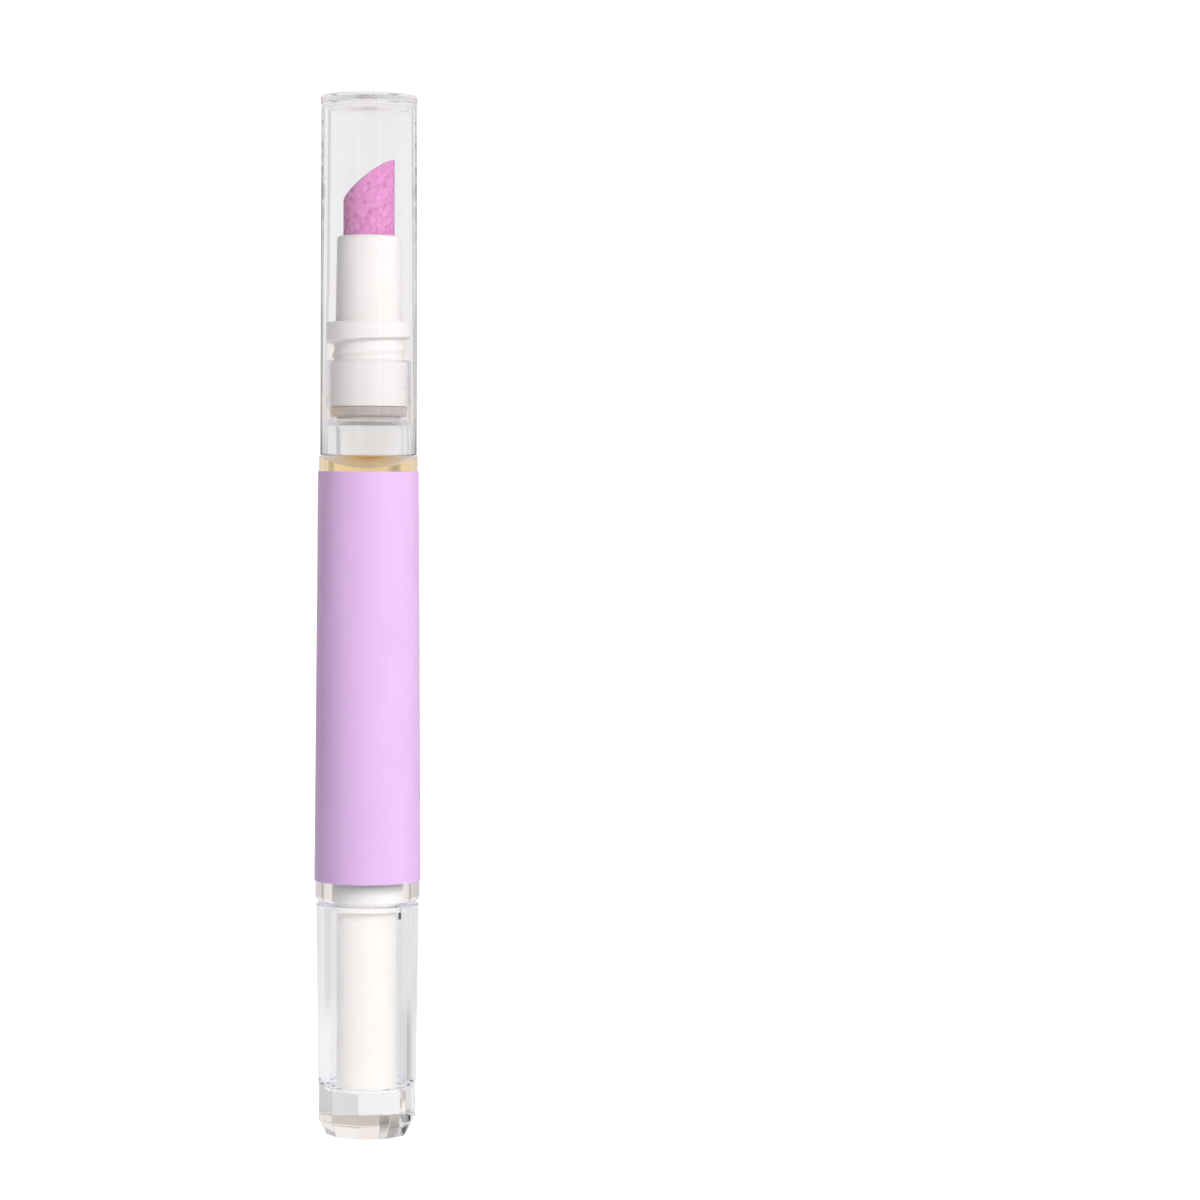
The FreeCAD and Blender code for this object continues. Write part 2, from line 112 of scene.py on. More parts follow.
def skin(name, rings, closed=False, crease=35):
    """Piece whose surface runs through rings of (x, y, z) points, in millimetres."""
    shell = bmesh.new()
    rows = [[shell.verts.new(Vector(point) * MM) for point in ring] for ring in rings]
    pairs = list(zip(rows, rows[1:]))
    if closed:
        pairs.append((rows[-1], rows[0]))
    for low, high in pairs:
        for side in range(max(len(low), len(high))):
            corners = [
                low[side % len(low)],
                low[(side + 1) % len(low)],
                high[(side + 1) % len(high)],
                high[side % len(high)],
            ]
            shell.faces.new(list(dict.fromkeys(corners)))
    bmesh.ops.recalc_face_normals(shell, faces=shell.faces)
    mesh = bpy.data.meshes.new(name)
    shell.to_mesh(mesh)
    shell.free()
    mesh.shade_smooth()
    mesh.set_sharp_from_angle(angle=math.radians(crease))
    piece = bpy.data.objects.new(name, mesh)
    bpy.context.scene.collection.objects.link(piece)
    return piece


def circle(radius, height, sides):
    """Ring of points about the pen's axis, or the one point on it."""
    if not radius:
        return [(0, 0, height)]
    turns = [2 * math.pi * side / sides for side in range(sides)]
    return [(radius * math.cos(turn), radius * math.sin(turn), height) for turn in turns]


def turned(name, corners, sides=240):
    """Piece turned about the pen's axis."""
    outline = rounded_outline(corners)
    rings = [circle(radius, height, sides) for radius, height in outline]
    return skin(name, rings, closed=all(radius for radius, height in outline))


def add_bubble(piece, x, y, z, radius):
    """Round hollow left in a clear moulding."""
    shell = bmesh.new()
    shell.from_mesh(piece.data)
    ball = bmesh.ops.create_icosphere(shell, subdivisions=3, radius=radius * MM)["verts"]
    bmesh.ops.translate(shell, verts=ball, vec=Vector((x, y, z)) * MM)
    faces = {face for vert in ball for face in vert.link_faces}
    bmesh.ops.reverse_faces(shell, faces=list(faces))
    for face in faces:
        face.smooth = True
    shell.to_mesh(piece.data)
    shell.free()


def fit(piece, body, node, finish):
    """Puts a made piece in the place of its solid, with its finish."""
    piece.data.materials.clear()
    piece.data.materials.append(finish)
    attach(piece, body)
    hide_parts(node)


def blank_finish(name):
    """New material with its nodes, links, main shader and object-space coordinates."""
    finish = bpy.data.materials.new(name)
    finish.use_nodes = True
    nodes, links = finish.node_tree.nodes, finish.node_tree.links
    place = nodes.new("ShaderNodeTexCoord").outputs["Object"]
    return finish, nodes, links, nodes["Principled BSDF"], place


def grain(nodes, links, place, scale, stretch=(1, 1, 1), detail=3.0):
    """Noise pattern over the surface; scale is in waves to the metre."""
    mapping = nodes.new("ShaderNodeMapping")
    mapping.inputs["Scale"].default_value = stretch
    links.new(place, mapping.inputs["Vector"])
    pattern = nodes.new("ShaderNodeTexNoise")
    pattern.inputs["Scale"].default_value = scale
    pattern.inputs["Detail"].default_value = detail
    links.new(mapping.outputs["Vector"], pattern.inputs["Vector"])
    return pattern.outputs["Fac"]


def spread(nodes, links, pattern, low, high, socket):
    """Leads a pattern to a socket as a number from low to high."""
    span = nodes.new("ShaderNodeMapRange")
    span.inputs["From Min"].default_value = 0.3
    span.inputs["From Max"].default_value = 0.7
    span.inputs["To Min"].default_value = low
    span.inputs["To Max"].default_value = high
    links.new(pattern, span.inputs["Value"])
    links.new(span.outputs["Result"], socket)


def shades(nodes, links, pattern, stops, socket):
    """Leads a pattern to a colour socket through (position, colour) stops."""
    ramp = nodes.new("ShaderNodeValToRGB")
    while len(ramp.color_ramp.elements) < len(stops):
        ramp.color_ramp.elements.new(0.5)
    for element, (position, colour) in zip(ramp.color_ramp.elements, stops):
        element.position = position
        element.color = (*colour, 1)
    links.new(pattern, ramp.inputs["Fac"])
    links.new(ramp.outputs["Color"], socket)


def relief(nodes, links, pattern, depth, shader, strength=1.0):
    """Lets a pattern raise and sink the surface by a depth in millimetres."""
    bump = nodes.new("ShaderNodeBump")
    bump.inputs["Strength"].default_value = strength
    bump.inputs["Distance"].default_value = depth * MM
    links.new(pattern, bump.inputs["Height"])
    links.new(bump.outputs["Normal"], shader.inputs["Normal"])


def clear_moulding(name, tint, deeper, ripple):
    """Polished clear plastic with faint flow ripples; lamps shine through to what it holds."""
    finish, nodes, links, shader, place = blank_finish(name)
    flow = grain(nodes, links, place, 140, (1, 1, 0.25))
    shades(nodes, links, flow, [(0.3, deeper), (0.7, tint)], shader.inputs["Base Color"])
    spread(nodes, links, grain(nodes, links, place, 700), 0.012, 0.035, shader.inputs["Roughness"])
    relief(nodes, links, flow, ripple, shader)
    shader.inputs["Transmission Weight"].default_value = 1.0
    shader.inputs["IOR"].default_value = 1.5
    lamp = nodes.new("ShaderNodeLightPath").outputs["Is Shadow Ray"]
    passing = nodes.new("ShaderNodeBsdfTransparent")
    passing.inputs["Color"].default_value = (1, 1, 1, 1)
    either = nodes.new("ShaderNodeMixShader")
    links.new(lamp, either.inputs["Fac"])
    links.new(shader.outputs["BSDF"], either.inputs[1])
    links.new(passing.outputs["BSDF"], either.inputs[2])
    links.new(either.outputs["Shader"], nodes["Material Output"].inputs["Surface"])
    return finish


barrel = turned("barrel_shell", barrel_corners)
for height, radius in bubble_heights_and_radii:
    add_bubble(barrel, bubble_x, bubble_y, height, radius)
clear_barrel = clear_moulding(
    "clear barrel styrene", (0.985, 0.985, 0.985), (0.97, 0.97, 0.975), ripple=0.004
)
fit(barrel, "barrel", "barrel", clear_barrel)


# Screw nut and ratchet ring: white acetal mouldings pressed into the barrel's tail.
# Only the ratchet ring's side shows, through the clear wall below the label.
def white_moulding(name, pale, dull, rough=(0.34, 0.46), glow=0.12, depth=0.6):
    """Satin white plastic with a fine grain, a little see-through to a depth in millimetres."""
    finish, nodes, links, shader, place = blank_finish(name)
    cloud = grain(nodes, links, place, 420)
    shades(nodes, links, cloud, [(0.3, dull), (0.7, pale)], shader.inputs["Base Color"])
    spread(nodes, links, grain(nodes, links, place, 2600), *rough, shader.inputs["Roughness"])
    relief(nodes, links, grain(nodes, links, place, 5200), 0.004, shader, 0.5)
    shader.inputs["Subsurface Weight"].default_value = glow
    shader.inputs["Subsurface Radius"].default_value = (0.6, 0.6, 0.6)
    shader.inputs["Subsurface Scale"].default_value = depth * MM
    return finish


def dress(node, finish):
    """Gives a solid that is shown as it is its finish."""
    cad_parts[node].data.materials.clear()
    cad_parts[node].data.materials.append(finish)


white_acetal = white_moulding("white acetal", (0.9, 0.885, 0.87), (0.86, 0.845, 0.83))
dress("screw_nut", white_acetal)
dress("ratchet_ring", white_acetal)


# Knob: clear grip, bored for the drive sleeve, moulded with ten flats and a bevelled foot.
# The flats run out into the round grip in shallow arches; a notch in its mouth takes the key.
knob_length = 26.9
knob_bore = 4.4
knob_foot_radius = 5.69
knob_rim_radius = 5.95
knob_floor = 5.65
sleeve_seat_radius = 3.55
sleeve_seat_floor = 5.25
flat_count = 10
flat_turn = 9.0
flat_top = 6.0
flat_corner_radius = 5.66
flat_edge_rounding = 0.16
flat_runout_reach = 1.5
bevel_top = 1.8
bevel_corner_radius = 4.8
foot_edge = 0.1
lip_rounding = 0.15
lip_steps = 6
mouth_chamfer = 0.06
bore_corner = 0.2
notch_angle = -45.0
notch_half_angle = 3.2
notch_side = 0.15
notch_radius = 4.72
notch_floor = 25.4
column_step = 1.5
edge_columns = (-0.6, -0.4, -0.2, 0, 0.2, 0.4, 0.6)


def flat_radius(angle, corner_radius):
    """Distance from the axis to the ring of flats, whose edges are slightly rounded."""
    pitch = 360 / flat_count
    offset = (angle - flat_turn + pitch / 2) % pitch - pitch / 2
    half_pitch = math.pi / flat_count
    centre = corner_radius - flat_edge_rounding / math.cos(half_pitch)
    lean = math.radians(offset)
    side_reach = flat_edge_rounding * math.sin(half_pitch)
    touch = math.atan2(side_reach, centre + flat_edge_rounding * math.cos(half_pitch))
    if abs(lean) < touch:
        across = centre * math.sin(lean)
        return centre * math.cos(lean) + math.sqrt(flat_edge_rounding ** 2 - across ** 2)
    return corner_radius * math.cos(half_pitch) / math.cos(half_pitch - abs(lean))


def grip_radius(height):
    """Radius of the round grip, which widens towards its mouth."""
    share = (height - flat_top) / (knob_length - flat_top)
    return knob_foot_radius + (knob_rim_radius - knob_foot_radius) * share


def runout(angle):
    """Height at which a flat runs out into the grip."""
    low, high = flat_top, flat_top + flat_runout_reach
    for _ in range(40):
        middle = (low + high) / 2
        if flat_radius(angle, flat_corner_radius + middle - flat_top) < grip_radius(middle):
            low = middle
        else:
            high = middle
    return high


def knob_angles():
    """Angles of the knob's columns: even steps, with more at the flats' edges and the notch."""
    angles = {round(step * column_step, 3) for step in range(round(360 / column_step))}
    for flat in range(flat_count):
        edge = flat_turn + 360 / flat_count * flat
        angles |= {round((edge + step) % 360, 3) for step in edge_columns}
    for side in (-1, 1):
        angles.add(round((notch_angle + side * notch_half_angle) % 360, 3))
        angles.add(round((notch_angle + side * (notch_half_angle - notch_side)) % 360, 3))
    return sorted(angles)


def in_notch(angle):
    """Whether a column passes through the key's notch."""
    return abs((angle - notch_angle + 180) % 360 - 180) < notch_half_angle - notch_side / 2


def column_ring(angles, radius_at, height_at):
    """Ring of points whose radius and height depend on the angle."""
    ring = []
    for angle in angles:
        turn = math.radians(angle)
        radius = radius_at(angle)
        ring.append((radius * math.cos(turn), radius * math.sin(turn), height_at(angle)))
    return ring


angles = knob_angles()
knob_rings = [[(0, 0, 0)]]
bevel_slope = (flat_corner_radius - bevel_corner_radius) / bevel_top
foot_rows = [
    (0, 0.6),
    (0, foot_edge),
    (0.03, 0.03),
    (foot_edge, 0),
    (bevel_top / 2, 0),
    (bevel_top - foot_edge, 0),
    (bevel_top, 0.012),
]
for height, inset in foot_rows:
    corner = bevel_corner_radius + bevel_slope * height - inset
    knob_rings.append(column_ring(angles, lambda a: flat_radius(a, corner), lambda a: height))
for height in (bevel_top + 0.08, 3.2, 4.6, flat_top - 0.06, flat_top + 0.01):
    flat_ring = column_ring(angles, lambda a: flat_radius(a, flat_corner_radius), lambda a: height)
    knob_rings.append(flat_ring)
run_heights = {angle: runout(angle) for angle in angles}
knob_rings.append(
    column_ring(angles, lambda a: grip_radius(run_heights[a]), lambda a: run_heights[a])
)
for height in (7.6, 9.0, 12.0, 16.0, 20.0, 24.0, knob_length - 0.6):
    knob_rings.append(column_ring(angles, lambda a: grip_radius(height), lambda a: height))
for step in range(lip_steps + 1):
    bend = math.pi / 2 * step / lip_steps
    height = knob_length - lip_rounding + lip_rounding * math.sin(bend)
    radius = knob_rim_radius - lip_rounding * (1 - math.cos(bend))
    knob_rings.append(column_ring(angles, lambda a: radius, lambda a: height))
mouth_radius = {angle: notch_radius if in_notch(angle) else knob_bore for angle in angles}
for widening, height in (
    (mouth_chamfer, knob_length),
    (0, knob_length - mouth_chamfer),
    (0, notch_floor),
):
    knob_rings.append(column_ring(angles, lambda a: mouth_radius[a] + widening, lambda a: height))
for radius, height in (
    (knob_bore, notch_floor - 0.01),
    (knob_bore, 16.0),
    (knob_bore, knob_floor + bore_corner),
    (knob_bore - 0.06, knob_floor + 0.06),
    (knob_bore - bore_corner, knob_floor),
    (sleeve_seat_radius, knob_floor),
    (sleeve_seat_radius, sleeve_seat_floor),
):
    knob_rings.append(column_ring(angles, lambda a: radius, lambda a: height))
knob_rings.append([(0, 0, sleeve_seat_floor)])
knob = skin("knob_grip", knob_rings, crease=12)
clear_knob = clear_moulding(
    "clear knob styrene", (0.975, 0.975, 0.975), (0.955, 0.955, 0.96), ripple=0.003
)
fit(knob, "knob", "knob", clear_knob)


# Drive sleeve and pawl ring: the white tube keyed into the knob, and the sprung clicker on its hub.
# The tube shows through the clear knob; the pawl ring is hidden in the ratchet ring.
sleeve_white = white_moulding(
    "sleeve white", (0.81, 0.785, 0.77), (0.785, 0.76, 0.745), glow=0.68, depth=3.0
)
pawl_white = white_moulding("pawl white", (0.88, 0.89, 0.9), (0.83, 0.84, 0.86), rough=(0.28, 0.38))
dress("drive_sleeve", sleeve_white)
dress("pawl_ring", pawl_white)


# Screw rod: white nylon, a two-start thread rolled on a bar whose two flats the sleeve turns.
# Its button head snaps into the piston.
rod_radius = 1.8
rod_half_flats = 1.3
rod_lead = 3.0
rod_starts = 2
rod_thread_depth = 0.32
rod_flank_slope = 2.2
rod_root_share = 0.6
rod_bottom = 6.2
rod_thread_top = 39.65
rod_neck_radius = 1.0
rod_head_radius = 1.5
rod_head_bottom = 40.81
rod_head_top = 42.31
rod_head = [
    (rod_neck_radius, rod_thread_top),
    (rod_neck_radius, rod_head_bottom),
    (rod_head_radius - 0.06, rod_head_bottom),
    (rod_head_radius, rod_head_bottom + 0.06),
    (rod_head_radius, rod_head_top - 0.25),
    (rod_head_radius - 0.07, rod_head_top - 0.07),
    (rod_head_radius - 0.25, rod_head_top),
]
rod_sides = 72
rod_rows = 300


def rod_ring(height):
    """Cross-section of the threaded bar, trimmed by its flats."""
    ring = []
    for side in range(rod_sides):
        turn = 2 * math.pi * side / rod_sides
        phase = rod_starts * (height / rod_lead - side / rod_sides) % 1
        crest = min(1, max(0, rod_flank_slope * abs(2 * phase - 1) - rod_root_share))
        radius = rod_radius - rod_thread_depth * (1 - crest)
        across = max(-rod_half_flats, min(rod_half_flats, radius * math.sin(turn)))
        ring.append((radius * math.cos(turn), across, height))
    return ring


rod_rings = [[(0, 0, rod_bottom)]]
for row in range(rod_rows + 1):
    rod_rings.append(rod_ring(rod_bottom + (rod_thread_top - rod_bottom) * row / rod_rows))
rod_rings += [circle(radius, height, rod_sides) for radius, height in rod_head]
rod_rings.append([(0, 0, rod_head_top)])
rod = skin("screw_rod_thread", rod_rings)
rod_nylon = white_moulding("rod nylon", (0.88, 0.87, 0.83), (0.82, 0.81, 0.77))
fit(rod, "rod", "screw_rod", rod_nylon)


# Piston: waxy polyethylene plunger with a sealing lip at each end, pushed by the rod's head.
# It hides behind the label.
waxy_white = white_moulding(
    "piston polyethylene", (0.86, 0.86, 0.83), (0.8, 0.8, 0.77), rough=(0.4, 0.52)
)
dress("piston", waxy_white)


# Oil: clear amber oil that fills the bore from the piston's crown to just under the shoulder.
# Its surface is hollow and climbs the wall; it is a hair wider than the bore, to show no air.
oil_overlap = 0.02
oil_radius = reservoir_radius + oil_overlap
oil_rim = 78.55
oil_dip = 77.25
oil_bottom = 45.51
crown_radius = 3.08
crown_tip_radius = 2.48
crown_depth = 0.6
oil_sides = 240
oil_sphere = (oil_radius ** 2 + (oil_rim - oil_dip) ** 2) / (2 * (oil_rim - oil_dip))
surface_steps = 24
oil_rings = [[(0, 0, oil_dip)]]
for step in range(1, surface_steps + 1):
    radius = oil_radius * step / surface_steps
    height = oil_dip + oil_sphere - math.sqrt(oil_sphere ** 2 - radius ** 2)
    oil_rings.append(circle(radius, height, oil_sides))
for radius, height in (
    (oil_radius, oil_bottom),
    (crown_radius, oil_bottom),
    (crown_tip_radius, oil_bottom - crown_depth),
):
    oil_rings.append(circle(radius, height, oil_sides))
oil_rings.append([(0, 0, oil_bottom - crown_depth)])
oil = skin("oil_column", oil_rings)
amber_oil, nodes, links, shader, place = blank_finish("amber oil")
shades(
    nodes,
    links,
    grain(nodes, links, place, 160),
    [(0.3, (0.985, 0.975, 0.95)), (0.7, (0.995, 0.985, 0.965))],
    shader.inputs["Base Color"],
)
spread(nodes, links, grain(nodes, links, place, 300), 0.0, 0.012, shader.inputs["Roughness"])
shader.inputs["Transmission Weight"].default_value = 1.0
shader.inputs["IOR"].default_value = 1.47
depth_tint = nodes.new("ShaderNodeVolumeAbsorption")
depth_tint.inputs["Color"].default_value = (0.955, 0.74, 0.12, 1)
depth_tint.inputs["Density"].default_value = 150.0
links.new(depth_tint.outputs["Volume"], nodes["Material Output"].inputs["Volume"])
fit(oil, "barrel", "oil_fill", amber_oil)
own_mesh(oil)


# Neck plug: white polypropylene, pressed into the neck up to its shank; the flange meets the cap.
# A coarse helical rib climbs the shank, and the flange's lower face is cut as a ramp.
plug_sides = 240
feed_bore_radius = 0.77
stem_bottom = 82.95
stem_lip_radius = 3.79
stem_radius = 3.64
seal_bottom = 83.2
seal_top = 84.4
bead_radius = 4.49
bead_top = 86.2
plug_body_radius = 4.44
shank_bottom = 89.4
shank_radius = 3.99
rib_height = 0.2
rib_half_width = 0.42
rib_lead = 1.5
rib_left = 90.35
rib_windings = (-1, 0, 1, 2)
rib_fade_share = 1 / 8
shank_rows = 34
flange_radius = 4.898
flange_top = 94.07
flange_edge = 0.16
ramp_low = 91.78
ramp_rise = 0.62
spigot_hole_radius = 2.62
spigot_hole_floor = 88.87
plug_lower = [
    (feed_bore_radius, stem_bottom, 0),
    (stem_lip_radius, stem_bottom, 0.06),
    (stem_radius, seal_bottom, 0),
    (stem_radius, seal_top, 0),
    (bead_radius, seal_top, 0.06),
    (bead_radius, bead_top, 0.04),
    (plug_body_radius, bead_top + 0.05, 0.04),
    (plug_body_radius, shank_bottom, 0.08),
    (shank_radius + 0.1, shank_bottom, 0),
]
plug_upper = [
    (flange_radius, flange_top - 0.6, 0),
    (flange_radius, flange_top, flange_edge),
    (spigot_hole_radius, flange_top, 0),
    (spigot_hole_radius, spigot_hole_floor, 0),
    (feed_bore_radius, spigot_hole_floor, 0),
]


def ramp(turn):
    """Height of the flange's lower face, lowest on the left and highest on the right."""
    share = abs((turn / math.pi) % 2 - 1)
    return ramp_low + ramp_rise * share


def shank_point(side, share):
    """Point on the shank and its rib, at a share of the way up to the flange."""
    turn = 2 * math.pi * side / plug_sides
    height = shank_bottom + (ramp(turn) - shank_bottom) * share
    climb = rib_left + rib_lead * (turn - math.pi) / (2 * math.pi)
    off = min(abs(height - climb - rib_lead * winding) for winding in rib_windings)
    rise = rib_height * max(0, 1 - (off / rib_half_width) ** 2)
    fade = min(1, share / rib_fade_share)
    radius = shank_radius + rise * fade
    return radius * math.cos(turn), radius * math.sin(turn), height


def ramp_ring(radius, lift):
    """Ring on the flange's lower face."""
    turns = [2 * math.pi * side / plug_sides for side in range(plug_sides)]
    return [(radius * math.cos(turn), radius * math.sin(turn), ramp(turn) + lift) for turn in turns]


plug_rings = [circle(radius, height, plug_sides) for radius, height in rounded_outline(plug_lower)]
for row in range(shank_rows + 1):
    plug_rings.append([shank_point(side, row / shank_rows) for side in range(plug_sides)])
for radius, lift in (
    (flange_radius - 0.498, 0),
    (flange_radius - flange_edge, 0),
    (flange_radius - 0.05, 0.05),
    (flange_radius, flange_edge),
):
    plug_rings.append(ramp_ring(radius, lift))
plug_rings += [circle(radius, height, plug_sides) for radius, height in rounded_outline(plug_upper)]
plug = skin("plug_with_rib", plug_rings, closed=True)
plug_white = white_moulding("plug polypropylene", (0.845, 0.82, 0.815), (0.815, 0.79, 0.78))
fit(plug, "barrel", "neck_plug", plug_white)


# Seal ring: soft see-through silicone band on the plug's stem, squeezed against the neck.
# Its left side is painted amber, a painted reflection of the amber oil, fading to grey-brown on the
# rest.
seal_inner_radius = stem_radius + 0.02
seal_rounding = 0.38
amber_reflection_from = -3.9
amber_reflection_to = -2.2
seal_corners = [
    (seal_inner_radius, seal_bottom, 0.1),
    (bead_radius, seal_bottom, seal_rounding),
    (bead_radius, seal_top, seal_rounding),
    (seal_inner_radius, seal_top, 0.1),
]
seal = turned("seal_band", seal_corners)
silicone, nodes, links, shader, place = blank_finish("silicone with painted oil reflection")
# Painted reflection of the oil: amber on the left side, fading to grey-brown across the band.
across = nodes.new("ShaderNodeSeparateXYZ")
links.new(place, across.inputs["Vector"])
amber_reflection_share = nodes.new("ShaderNodeMapRange")
amber_reflection_share.inputs["From Min"].default_value = amber_reflection_from * MM
amber_reflection_share.inputs["From Max"].default_value = amber_reflection_to * MM
links.new(across.outputs["X"], amber_reflection_share.inputs["Value"])
shades(
    nodes,
    links,
    amber_reflection_share.outputs["Result"],
    [(0.0, (0.78, 0.6, 0.36)), (1.0, (0.47, 0.4, 0.4))],
    shader.inputs["Base Color"],
)
spread(nodes, links, grain(nodes, links, place, 1500), 0.22, 0.38, shader.inputs["Roughness"])
relief(nodes, links, grain(nodes, links, place, 2400), 0.01, shader, 0.6)
shader.inputs["Subsurface Weight"].default_value = 0.25
shader.inputs["Subsurface Radius"].default_value = (1.0, 0.8, 0.6)
shader.inputs["Subsurface Scale"].default_value = 0.5 * MM
fit(seal, "barrel", "plug_seal_ring", silicone)


# Feed tube: fine drawn polyethylene tube that leads the oil through plug and holder into the tip.
# It is slid in from below and hidden by the plug.
tube_white = white_moulding("drawn tube", (0.9, 0.9, 0.9), (0.84, 0.84, 0.85), rough=(0.25, 0.35))
dress("feed_tube", tube_white)


# Tip holder: white polypropylene sleeve on the plug's flange, its spigot snapped into the plug.
# It tapers slightly and has a rounded lip where the tip goes in.
spigot_radius = 2.6
holder_foot_radius = 3.82
holder_lip_radius = 3.67
holder_top = 104.0
socket_radius = 2.97
socket_floor = 98.0
holder_corners = [
    (feed_bore_radius, spigot_hole_floor, 0),
    (spigot_radius, spigot_hole_floor, 0.1),
    (spigot_radius, flange_top, 0),
    (holder_foot_radius, flange_top + 0.01, 0.03),
    (holder_lip_radius, holder_top, 0.36),
    (socket_radius, holder_top, 0.1),
    (socket_radius, socket_floor, 0),
    (feed_bore_radius, socket_floor, 0),
]
holder = turned("tip_sleeve", holder_corners)
fit(holder, "barrel", "tip_holder", plug_white)


# Pusher tip: pink pumice-like porous stick, ground to a slanted, slightly bulging face.
# It is pushed into the holder. Its pores and specks are real pits and a mottled colour.
tip_radius = 2.95
tip_bottom = socket_floor
tip_bore_top = 100.4
tip_top = 113.0
tip_drop = 4.7
tip_bulge = 0.4
tip_edge = 0.34
tip_half_width = 3.01
tip_sides = 168
tip_wall_rows = 60
tip_edge_rows = 9
tip_face_rows = 28
pit_count = 150
pit_wall_share = 0.72
pit_lowest = 103.6
big_pit_x = -0.28
big_pit_z = 109.3
seen_from = 103.0
chord = math.hypot(2 * tip_half_width, tip_drop)
arch_radius = (chord ** 2 / 4 + tip_bulge ** 2) / (2 * tip_bulge)
chord_lean = math.atan2(tip_drop, 2 * tip_half_width)
arch_x = (arch_radius - tip_bulge) * math.sin(chord_lean)
arch_z = tip_top - tip_drop / 2 - (arch_radius - tip_bulge) * math.cos(chord_lean)


def slant(x):
    """Height of the ground face."""
    return arch_z + math.sqrt(arch_radius ** 2 - (x - arch_x) ** 2)


def tip_column(turn):
    """Points up one side of the tip, over its rounded edge and in to the middle of the face."""
    across, along = math.cos(turn), math.sin(turn)
    corner = slant(tip_radius * across)
    wall_end = corner - tip_edge
    inner = tip_radius - tip_edge
    points = []
    for row in range(tip_wall_rows + 1):
        points.append((tip_radius, tip_bottom + (wall_end - tip_bottom) * row / tip_wall_rows))
    for row in range(1, tip_edge_rows):
        share = row / tip_edge_rows
        radius = tip_radius - tip_edge * share ** 2
        below, over = (1 - share) ** 2, share ** 2
        height = below * wall_end + 2 * share * (1 - share) * corner + over * slant(inner * across)
        points.append((radius, height))
    for row in range(tip_face_rows):
        radius = inner * (1 - row / tip_face_rows)
        points.append((radius, slant(radius * across)))
    return [(radius * across, radius * along, height) for radius, height in points]


columns = [tip_column(2 * math.pi * side / tip_sides) for side in range(tip_sides)]
tip_rings = [
    [(0, 0, tip_bore_top)],
    circle(feed_bore_radius, tip_bore_top, tip_sides),
    circle(feed_bore_radius, tip_bottom, tip_sides),
]
tip_rings += [[column[row] for column in columns] for row in range(len(columns[0]))]
tip_rings.append([(0, 0, slant(0))])
tip = skin("pusher_stick", tip_rings, crease=60)
dice = random.Random(7)
pits = []
for _ in range(pit_count):
    turn = dice.uniform(0, 2 * math.pi)
    reach = tip_radius if dice.random() < pit_wall_share else dice.uniform(0.3, 2.6)
    x, y = reach * math.cos(turn), reach * math.sin(turn)
    z = dice.uniform(pit_lowest, slant(x)) if reach == tip_radius else slant(x)
    pits.append((Vector((x, y, z)), dice.uniform(0.05, 0.13), dice.uniform(0.03, 0.1)))
big_pit_y = -math.sqrt(tip_radius ** 2 - big_pit_x ** 2)
pits.append((Vector((big_pit_x, big_pit_y, big_pit_z)), 0.24, 0.3))
tip.data.update()
for vert in tip.data.vertices:
    point = vert.co / MM
    if point.z < seen_from:
        continue
    sink = 0.018 * noise.noise(point * 2.2) + 0.012 * noise.noise(point * 6.5)
    for middle, width, depth in pits:
        gap = (point - middle).length
        if gap < 2 * width:
            sink -= depth * math.exp(-((gap / width) ** 2))
    vert.co += vert.normal * sink * MM
pumice, nodes, links, shader, place = blank_finish("mottled pink pumice")
mottle = grain(nodes, links, place, 1900, detail=6.0)
shades(
    nodes,
    links,
    mottle,
    [
        (0.3, (0.5, 0.14, 0.36)),
        (0.42, (0.64, 0.22, 0.49)),
        (0.56, (0.7, 0.265, 0.56)),
        (0.74, (0.76, 0.33, 0.62)),
    ],
    shader.inputs["Base Color"],
)
spread(nodes, links, grain(nodes, links, place, 3000), 0.6, 0.85, shader.inputs["Roughness"])
relief(nodes, links, grain(nodes, links, place, 4200, detail=6.0), 0.05, shader, 0.5)
shader.inputs["Subsurface Weight"].default_value = 0.1
shader.inputs["Subsurface Radius"].default_value = (1.0, 0.4, 0.7)
shader.inputs["Subsurface Scale"].default_value = 0.5 * MM
fit(tip, "barrel", "pusher_tip", pumice)


# Label: bare lilac film with a gummed white back, wrapped once round the barrel's taper; the back
# also carries a painted glow.
# Its end laps over its start at the back; the tail and a ring of oil below the cap stay in view.
label_bottom = 29.6
label_top = 76.9
label_sink = 0.03
label_rise = 0.11
label_edge = 0.03
label_lap = 7.0
label_lap_ramp = 2.0
label_lap_gap = 0.01
label_seam = 156.0
label_steps = 300


def barrel_surface(height):
    """Outer radius of the barrel's taper."""
    share = (height - barrel_tail) / (barrel_shoulder - barrel_tail)
    return barrel_tail_radius + (barrel_shoulder_radius - barrel_tail_radius) * share


def film_section(angle, lift):
    """Cross-section of the film at an angle, lifted where it laps over itself."""
    turn = math.radians(angle)
    inner = lift - label_sink
    outer = lift + label_rise
    section = [
        (inner, label_bottom),
        (outer - label_edge, label_bottom),
        (outer, label_bottom + label_edge),
        (outer, label_top - label_edge),
        (outer - label_edge, label_top),
        (inner, label_top),
    ]
    ring = []
    for stand_off, height in section:
        radius = barrel_surface(height) + stand_off
        ring.append((radius * math.cos(turn), radius * math.sin(turn), height))
    return ring


def film_end(section):
    """Single point in the middle of a section, which closes the film's cut end."""
    return [tuple(sum(axis) / len(section) for axis in zip(*section))]


